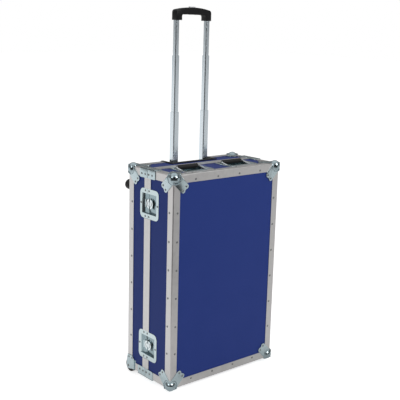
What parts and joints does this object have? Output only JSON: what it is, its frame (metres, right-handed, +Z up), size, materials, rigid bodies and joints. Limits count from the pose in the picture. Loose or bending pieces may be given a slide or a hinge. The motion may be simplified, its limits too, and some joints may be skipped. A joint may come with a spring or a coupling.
{
  "type": "flight case",
  "caption": "Upright lighting flight case: laminated panels in aluminium edging, ball corners, recessed latches and handles, castor corners, drawn pull handle",
  "frame": {"origin": "on the floor under the middle of the whole object's box, wheels and back feet included", "axes": "+Z up, +Y to the back with the pull handle, +X to the hinge side on the right seen from the front"},
  "size_m": [0.529, 0.303, 1.381],
  "materials": {
    "laminate": "birch plywood with royal blue laminate, fine satin grain",
    "aluminium": "satin anodised extrusion",
    "zinc": "bright zinc-plated pressed steel",
    "chrome": "bright plated wire",
    "polished_tube": "polished drawn tube",
    "black_plastic": "moulded, fine texture",
    "grey_plastic": "moulded, satin",
    "rubber": "moulded rubber",
    "tyre": "solid rubber tyre"
  },
  "bodies": {
    "base": {"base_back_panel": "laminate", "base_left_panel": "laminate", "base_right_panel": "laminate", "base_top_panel": "laminate", "base_bottom_panel": "laminate", "base_left_edging": "aluminium", "base_right_edging": "aluminium", "base_bottom_edging": "aluminium", "base_closing_profile": "aluminium", "ball_corner_back_left_top": "zinc", "ball_corner_back_right_top": "zinc", "castor_left": "zinc", "castor_right": "zinc", "hinge_base_leaf": "zinc", "lower_latch_keeper_dish": "zinc", "upper_latch_keeper_dish": "zinc", "pull_handle_housing": "black_plastic", "fixed_tubes": "zinc", "back_foot_left": "rubber", "back_foot_right": "rubber"},
    "lid": {"lid_front_panel": "laminate", "lid_left_panel": "laminate", "lid_right_panel": "laminate", "lid_top_panel": "laminate", "lid_bottom_panel": "laminate", "lid_edging": "aluminium", "lid_closing_profile": "aluminium", "ball_corner_front_left_top": "zinc", "ball_corner_front_right_top": "zinc", "ball_corner_front_left_bottom": "zinc", "ball_corner_front_right_bottom": "zinc", "hinge_lid_leaf": "zinc", "left_handle_dish": "zinc", "right_handle_dish": "zinc", "front_foot_left": "rubber", "front_foot_right": "rubber", "lower_latch_lid_dish": "zinc", "upper_latch_lid_dish": "zinc"},
    "outer_stage": {"outer_tube_left": "polished_tube", "outer_tube_right": "polished_tube"},
    "middle_stage": {"middle_tube_left": "polished_tube", "middle_tube_right": "polished_tube"},
    "grip_stage": {"grip_tube_left": "polished_tube", "grip_tube_right": "polished_tube", "pull_grip": "black_plastic"},
    "release_button": {"release_button": "grey_plastic"},
    "wheel_left": {"wheel_left": "tyre"},
    "wheel_right": {"wheel_right": "tyre"},
    "lower_latch_hub": {"lower_latch_hub": "zinc"},
    "lower_latch_front_wing": {"lower_latch_front_wing": "zinc"},
    "lower_latch_rear_wing": {"lower_latch_rear_wing": "zinc"},
    "lower_latch_hook": {"lower_latch_hook": "zinc"},
    "upper_latch_hub": {"upper_latch_hub": "zinc"},
    "upper_latch_front_wing": {"upper_latch_front_wing": "zinc"},
    "upper_latch_rear_wing": {"upper_latch_rear_wing": "zinc"},
    "upper_latch_hook": {"upper_latch_hook": "zinc"},
    "left_handle": {"left_handle_bail": "chrome", "left_handle_grip": "rubber"},
    "right_handle": {"right_handle_bail": "chrome", "right_handle_grip": "rubber"}
  },
  "joints": [
    {"name": "lid_hinge", "type": "hinge", "parent": "base", "child": "lid", "pos_m": [0.2564, 0.0065, 0.415], "axis": [0, 0, 1], "range_deg": [0, 100]},
    {"name": "lower_latch_turn", "type": "hinge", "parent": "lid", "child": "lower_latch_hub", "pos_m": [-0.2459, -0.002, 0.1455], "axis": [-1, 0, 0], "range_deg": [0, 180]},
    {"name": "lower_latch_hook_tilt", "type": "hinge", "parent": "lid", "child": "lower_latch_hook", "pos_m": [-0.24665, -0.0151, 0.1455], "axis": [0, 0, -1], "range_deg": [0, 3.6]},
    {"name": "lower_latch_front_wing_fold", "type": "hinge", "parent": "lower_latch_hub", "child": "lower_latch_front_wing", "pos_m": [-0.2511, -0.0051, 0.1455], "axis": [0, 0, -1], "range_deg": [0, 90]},
    {"name": "lower_latch_rear_wing_fold", "type": "hinge", "parent": "lower_latch_hub", "child": "lower_latch_rear_wing", "pos_m": [-0.2511, 0.0011, 0.1455], "axis": [0, 0, 1], "range_deg": [0, 90]},
    {"name": "upper_latch_turn", "type": "hinge", "parent": "lid", "child": "upper_latch_hub", "pos_m": [-0.2459, -0.002, 0.6845], "axis": [-1, 0, 0], "range_deg": [0, 180]},
    {"name": "upper_latch_hook_tilt", "type": "hinge", "parent": "lid", "child": "upper_latch_hook", "pos_m": [-0.24665, -0.0151, 0.6845], "axis": [0, 0, -1], "range_deg": [0, 3.6]},
    {"name": "upper_latch_front_wing_fold", "type": "hinge", "parent": "upper_latch_hub", "child": "upper_latch_front_wing", "pos_m": [-0.2511, -0.0051, 0.6845], "axis": [0, 0, -1], "range_deg": [0, 90]},
    {"name": "upper_latch_rear_wing_fold", "type": "hinge", "parent": "upper_latch_hub", "child": "upper_latch_rear_wing", "pos_m": [-0.2511, 0.0011, 0.6845], "axis": [0, 0, 1], "range_deg": [0, 90]},
    {"name": "left_handle_lift", "type": "hinge", "parent": "lid", "child": "left_handle", "pos_m": [-0.108, -0.08195, 0.8045], "axis": [1, 0, 0], "range_deg": [0, 85], "stiffness_Nm_per_rad": 0.1, "springref_deg": -22.92},
    {"name": "right_handle_lift", "type": "hinge", "parent": "lid", "child": "right_handle", "pos_m": [0.108, -0.08195, 0.8045], "axis": [1, 0, 0], "range_deg": [0, 85], "stiffness_Nm_per_rad": 0.1, "springref_deg": -22.92},
    {"name": "outer_stage_slide", "type": "slide", "parent": "base", "child": "outer_stage", "axis": [0, 0, 1], "range_m": [-0.2337, 0]},
    {"name": "middle_stage_slide", "type": "slide", "parent": "outer_stage", "child": "middle_stage", "axis": [0, 0, 1], "range_m": [-0.2067, 0]},
    {"name": "grip_stage_slide", "type": "slide", "parent": "middle_stage", "child": "grip_stage", "axis": [0, 0, 1], "range_m": [-0.1267, 0]},
    {"name": "release_button_press", "type": "slide", "parent": "grip_stage", "child": "release_button", "axis": [0, 0, -1], "range_m": [0, 0.003], "stiffness_N_per_m": 300, "springref_m": -0.002},
    {"name": "wheel_left_roll", "type": "hinge", "parent": "base", "child": "wheel_left", "pos_m": [-0.238, 0.1155, 0.026], "axis": [1, 0, 0], "continuous": true},
    {"name": "wheel_right_roll", "type": "hinge", "parent": "base", "child": "wheel_right", "pos_m": [0.238, 0.1155, 0.026], "axis": [1, 0, 0], "continuous": true}
  ],
  "couplings": [
    {"joint": "lower_latch_hook_tilt", "follows": "lower_latch_turn", "ratio": 0.02},
    {"joint": "upper_latch_hook_tilt", "follows": "upper_latch_turn", "ratio": 0.02}
  ]
}
